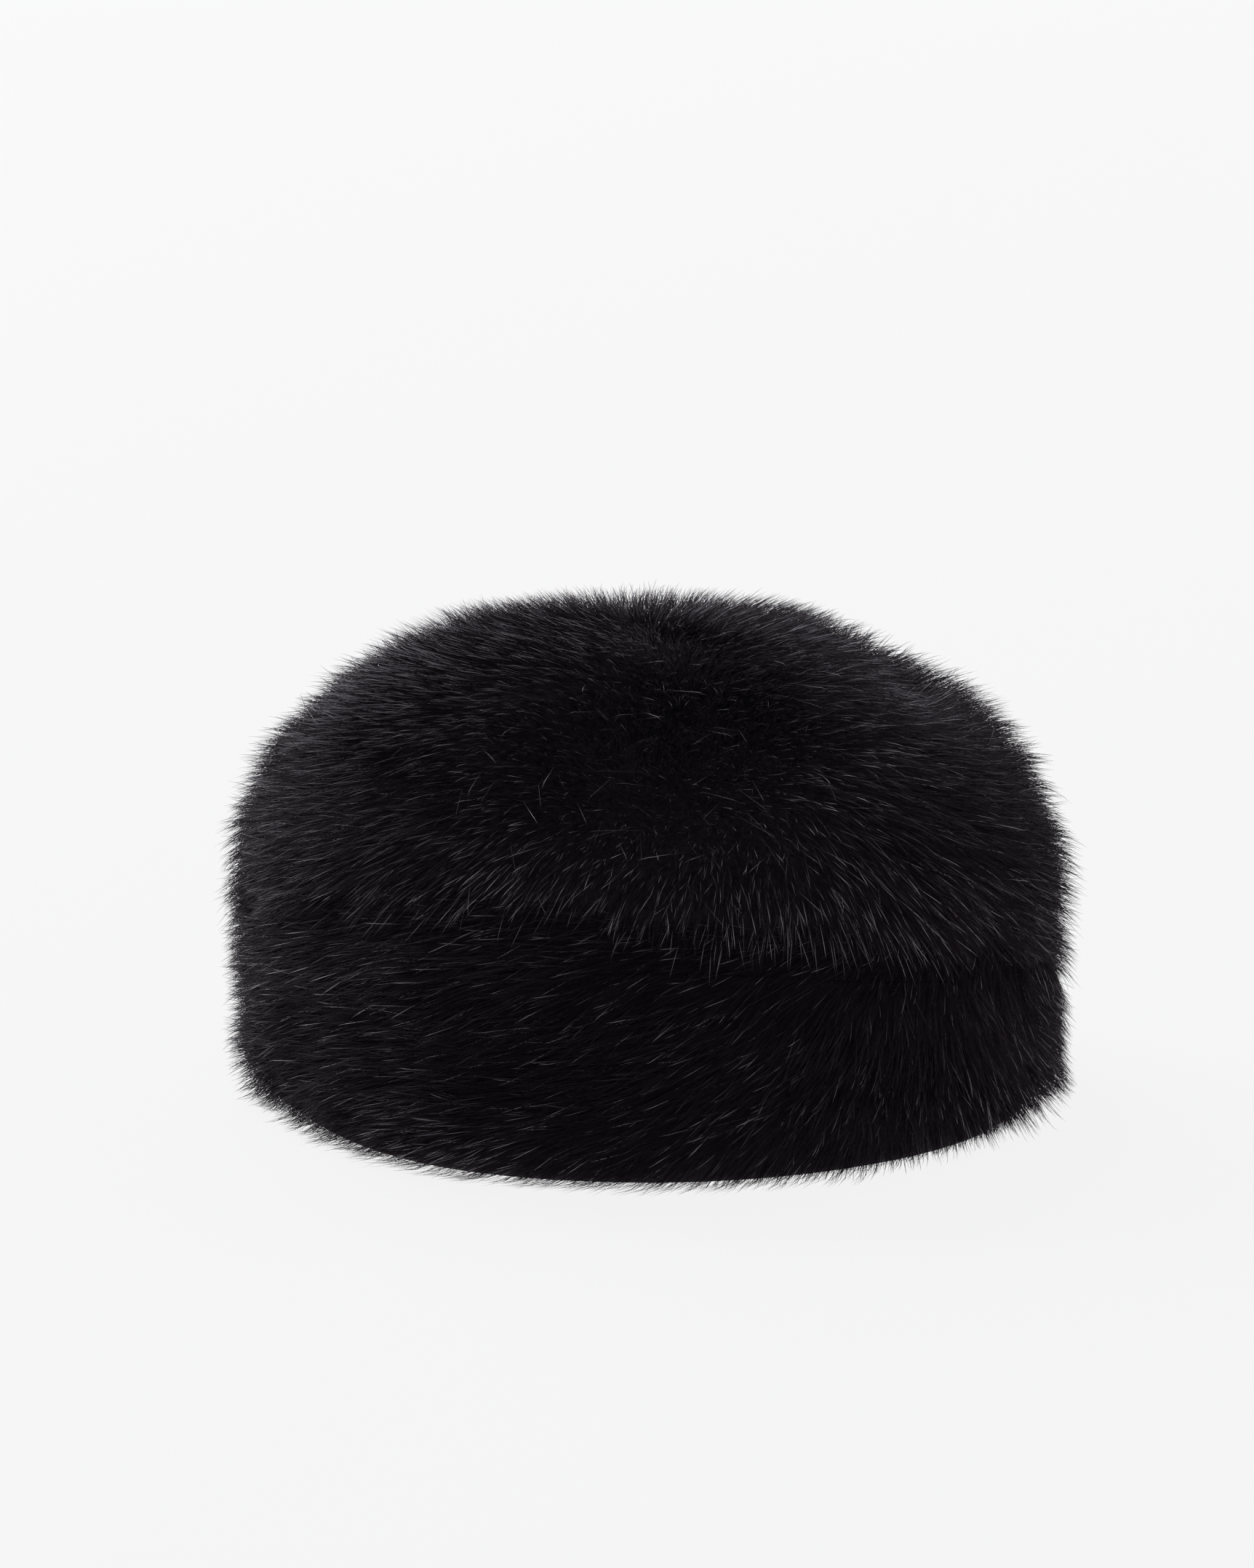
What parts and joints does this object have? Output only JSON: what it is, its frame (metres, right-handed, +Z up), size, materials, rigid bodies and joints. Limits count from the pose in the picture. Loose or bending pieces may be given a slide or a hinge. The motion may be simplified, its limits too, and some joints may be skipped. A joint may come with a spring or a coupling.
{
  "type": "faux fur toque",
  "caption": "Domed pillbox hat of black long-pile faux fur: a crown with a fringe of fur over its seam, on a band round the open head hollow.",
  "frame": {"origin": "bottom centre: the middle of the rim's plane, which the hat rests on", "axes": "+Z up, the front faces -Y, the wearer's left-hand side is +X, front to back is the longest way across"},
  "size_m": [0.2445, 0.2603, 0.1423],
  "materials": {
    "crown_fur": "long-pile faux fur, soft black with a cool sheen on the guard hairs",
    "band_fur": "long-pile faux fur, soft black with a cool sheen on the guard hairs"
  },
  "bodies": {
    "root": {"crown": "crown_fur", "band": "band_fur"}
  },
  "joints": []
}
